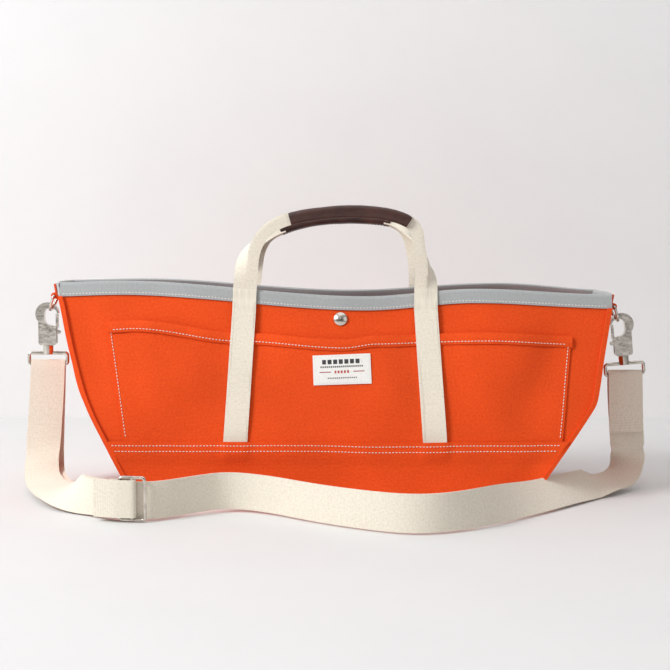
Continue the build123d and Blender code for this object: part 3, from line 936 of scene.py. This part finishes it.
# ---- Handles
# One length of natural webbing per side, 25 mm wide: it is sewn flat up the panel, over the
# pocket and the binding, stands up as a loop and folds in half into its leather grip.
handle_width = 0.0254
handle_thickness = 0.0023
hinge_height = 0.224
hinge_depth = 0.04455
hinge_points = {-1: Vector((0, -hinge_depth, hinge_height)), 1: Vector((0, hinge_depth, hinge_height))}
back_lean = Matrix.Rotation(-math.radians(21), 3, "X")
loop_plans = {
    -1: [(-0.0980, 0.002), (-0.0965, 0.020), (-0.0925, 0.044), (-0.0810, 0.064), (-0.0630, 0.0765),
         (-0.0350, 0.0850), (0.0150, 0.0905), (0.0620, 0.0865), (0.0880, 0.0740), (0.0915, 0.0500),
         (0.0965, 0.034), (0.0990, 0.016), (0.0985, 0.002)],
    1: [(-0.0980, 0.002), (-0.0950, 0.022), (-0.0900, 0.046), (-0.0800, 0.064), (-0.0620, 0.0745),
        (-0.0320, 0.0850), (0.0050, 0.0890), (0.0400, 0.0885), (0.0680, 0.0845), (0.0850, 0.0700),
        (0.0930, 0.046), (0.0980, 0.020), (0.0980, 0.002)],
}
grip_ends = {-1: (-0.0500, 0.0810), 1: (-0.0660, 0.0660)}


def loop_line(face):
    """The handle's loop from its left hinge to its right hinge. The back loop leans outward."""
    places = []
    for x, h in loop_plans[face]:
        rise = Vector((0, 0, h * 0.965))
        if face > 0:
            rise = back_lean @ rise
        places.append(tuple(hinge_points[face] + Vector((x, 0, 0)) + rise))
    return rounded_line(places)


def leg_line(face, side):
    """A sewn leg, from under the band up to the rim."""
    places = []
    for z in (0.056, 0.062, 0.068, 0.076, 0.090, 0.120, 0.150, 0.175, 0.195, 0.212):
        out = 0.0034 + 0.0014 * soft_step((z - 0.064) / 0.014)
        if z > 0.180:
            out -= 0.0004
        places.append(tuple(wall_point(side * leg_x(z), z, face, out)))
    return rounded_line(places)


for face_name, face in (("front", -1), ("back", 1)):
    loop = loop_line(face)
    outward = Vector((0, face, 0)) if face < 0 else back_lean @ Vector((0, face, 0))
    for side_name, side in (("left", -1), ("right", 1)):
        if side < 0:
            riser = [spot for spot in loop if spot.x < grip_ends[face][0] + 0.008]
        else:
            riser = [spot for spot in reversed(loop) if spot.x > grip_ends[face][1] - 0.008]
        line = leg_line(face, side)[:-3] + riser
        to_end = [0.0]
        for a, b in zip(line[::-1], line[-2::-1]):
            to_end.append(to_end[-1] + (b - a).length)
        to_end.reverse()

        def handle_across(i, ahead, side=side, face=face, outward=outward, line=line):
            wall_face = Vector((0, face, 0))
            turn = soft_step((line[i].z - 0.215) / 0.03)
            plane = wall_face * (1 - turn) + outward * turn
            return ahead.cross(plane) * (side * face)

        def half_fold(i, to_end=to_end):
            return 0.98 * math.pi * soft_step((0.098 - to_end[i]) / 0.088)

        strip = ribbon(
            "handle_webbing_" + face_name + "_" + side_name, line, handle_width, handle_thickness,
            handle_across, half_fold, -outward, cells=16,
        )
        strip.data.materials.append(webbing)
        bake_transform(strip)
        if side < 0:
            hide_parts(face_name + "_handle_leg_" + side_name, face_name + "_handle_webbing")
        else:
            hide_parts(face_name + "_handle_leg_" + side_name)
        for edge_name, edge in (("inner", -0.42), ("outer", 0.42)):
            sewn = []
            for step in range(31):
                z = band_height + 0.002 + (0.214 - band_height) * step / 30
                out = 0.0034 + 0.0014 * soft_step((z - 0.064) / 0.014) + 0.0011
                sewn.append(wall_point(side * leg_x(z) + edge * handle_width, z, face, out))
            stitch_row(
                "leg_stitches_%s_%s_%s" % (face_name, side_name, edge_name), sewn,
                radius=0.0003, material=webbing,
            )

# ---- Leather grips
# A strip of dark brown oiled leather, 132 mm long, rolled round the folded webbing with its
# seam underneath and closed with one row of stitches.


def polished(nodes, links, share, smooth, rough):
    """A roughness that goes from smooth to rough as share goes from 0 to 1."""
    spread = nodes.new("ShaderNodeMapRange")
    spread.inputs["To Min"].default_value = smooth
    spread.inputs["To Max"].default_value = rough
    links.new(share, spread.inputs["Value"])
    return spread.outputs["Result"]


def hide(name):
    """Oiled brown leather: fine pores, creases across the roll, and worn lighter ridges."""
    material, nodes, links, shader = new_material(name)
    shader.inputs["Coat Weight"].default_value = 0.12
    shader.inputs["Coat Roughness"].default_value = 0.35
    place = nodes.new("ShaderNodeTexCoord")
    pores = nodes.new("ShaderNodeTexVoronoi")
    pores.inputs["Scale"].default_value = 900
    links.new(place.outputs["Object"], pores.inputs["Vector"])
    clouds = speckle(nodes, links, place.outputs["Object"], 60, 8)
    shade = graded(nodes, links, clouds, 0.3, (0.030, 0.010, 0.008), 0.75, (0.085, 0.030, 0.022))
    links.new(shade, shader.inputs["Base Color"])
    links.new(polished(nodes, links, clouds, 0.36, 0.58), shader.inputs["Roughness"])
    creases = raised(nodes, links, clouds, 0.4, 0.0008)
    grain = raised(nodes, links, pores.outputs["Distance"], 0.35, 0.0003, creases)
    links.new(grain, shader.inputs["Normal"])
    return material


leather = hide("brown_leather")
brown_thread = woven("brown_thread", (0.16, 0.08, 0.06), (0.09, 0.04, 0.03), 0.0006, coords="Object")
grip_half_height = 0.0068
grip_half_depth = 0.0058

for face_name, face in (("front", -1), ("back", 1)):
    low, high = grip_ends[face]
    grip_line = [spot for spot in loop_line(face) if low < spot.x < high]
    last = len(grip_line) - 1
    outward = Vector((0, -1, 0)) if face < 0 else back_lean @ Vector((0, 1, 0))

    def grip_spot(i, angle, swell=1.0, line=grip_line, last=last, outward=outward):
        ahead = (line[min(i + 1, last)] - line[max(i - 1, 0)]).normalized()
        up = outward.cross(ahead)
        up = up if up.z > 0 else -up
        rim = 1.0 - 0.06 * max(0.0, 1 - min(i, last - i) / 2.0)
        lump = 1 + 0.05 * noise.noise(line[i] * 90)
        high_share = math.copysign(abs(math.cos(angle)) ** 0.75, math.cos(angle))
        deep_share = math.copysign(abs(math.sin(angle)) ** 0.75, math.sin(angle))
        ring = up * (high_share * grip_half_height) + outward * (deep_share * grip_half_depth)
        return line[i] + ring * (rim * lump * swell)

    def grip_place(u, v, spot=grip_spot, last=last, face=face):
        angle = 2 * math.pi * u * (1 if face < 0 else -1)
        return spot(min(last, int(round(v * last))), math.pi + angle)

    grip = lay_cloth("leather_grip_" + face_name, (28, last), (0.04, 0.134), grip_place, 0.0014)
    grip.data.materials.append(leather)
    bpy.ops.object.mode_set(mode="EDIT")
    bpy.ops.mesh.select_all(action="SELECT")
    bpy.ops.mesh.remove_doubles(threshold=0.00005)
    bpy.ops.mesh.normals_make_consistent(inside=False)
    bpy.ops.object.mode_set(mode="OBJECT")
    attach(grip, face_name + "_handle")
    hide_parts(face_name + "_handle_grip")
    under = [grip_spot(i, math.pi - 0.55, 1.01) for i in range(1, last)]
    stitch_row(
        "grip_stitches_" + face_name, under, face_name + "_handle", material=brown_thread
    )

# ---- Nickel fittings
# The snap, rings, hooks, loops and slide are cast or wire parts, polished and nickel plated,
# with a warm tone, fine handling scratches and duller hollows.


def nickel(name, light, dark, rough):
    """Polished plate with faint pits and smears."""
    material, nodes, links, shader = new_material(name)
    shader.inputs["Metallic"].default_value = 1.0
    place = nodes.new("ShaderNodeTexCoord")
    smears = speckle(nodes, links, place.outputs["Object"], 120, 6)
    links.new(graded(nodes, links, smears, 0.35, dark, 0.65, light), shader.inputs["Base Color"])
    links.new(polished(nodes, links, smears, rough, rough + 0.16), shader.inputs["Roughness"])
    scratches = speckle(nodes, links, place.outputs["Object"], 900, 3)
    casting = raised(nodes, links, smears, 0.30, 0.0012)
    links.new(raised(nodes, links, scratches, 0.08, 0.0002, casting), shader.inputs["Normal"])
    return material


plate = nickel("nickel_plate", (0.76, 0.71, 0.64), (0.50, 0.46, 0.41), 0.12)
spring_wire = nickel("spring_wire", (0.55, 0.55, 0.55), (0.40, 0.40, 0.40), 0.28)
fittings = [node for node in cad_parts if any(
    word in node for word in ("d_ring", "hook", "strap_loop", "strap_slide", "snap")
) and node != "strap_slide_wrap"]


def refinish(node, finish):
    """Gives a hard part of the frame its real finish."""
    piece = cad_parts[node]
    if piece.material_slots:
        for slot in piece.material_slots:
            slot.material = finish
    else:
        piece.data.materials.append(finish)


for node in fittings:
    refinish(node, spring_wire if "spring" in node else plate)

# ---- Ring tabs and base board
# The tab is a folded strip of duck whose tube holds the ring's bar, and the board is stiff
# black fibre that keeps the base flat.
tab_duck = woven("tab_duck", duck_light, duck_dark, duck_pitch, coords="Object")
board = woven(
    "fibre_board", (0.035, 0.035, 0.036), (0.018, 0.018, 0.019), 0.0024,
    coords="Object", rough=0.7, sheen=0.05,
)
for node, finish in (("left_ring_tab", tab_duck), ("right_ring_tab", tab_duck), ("base_board", board)):
    refinish(node, finish)
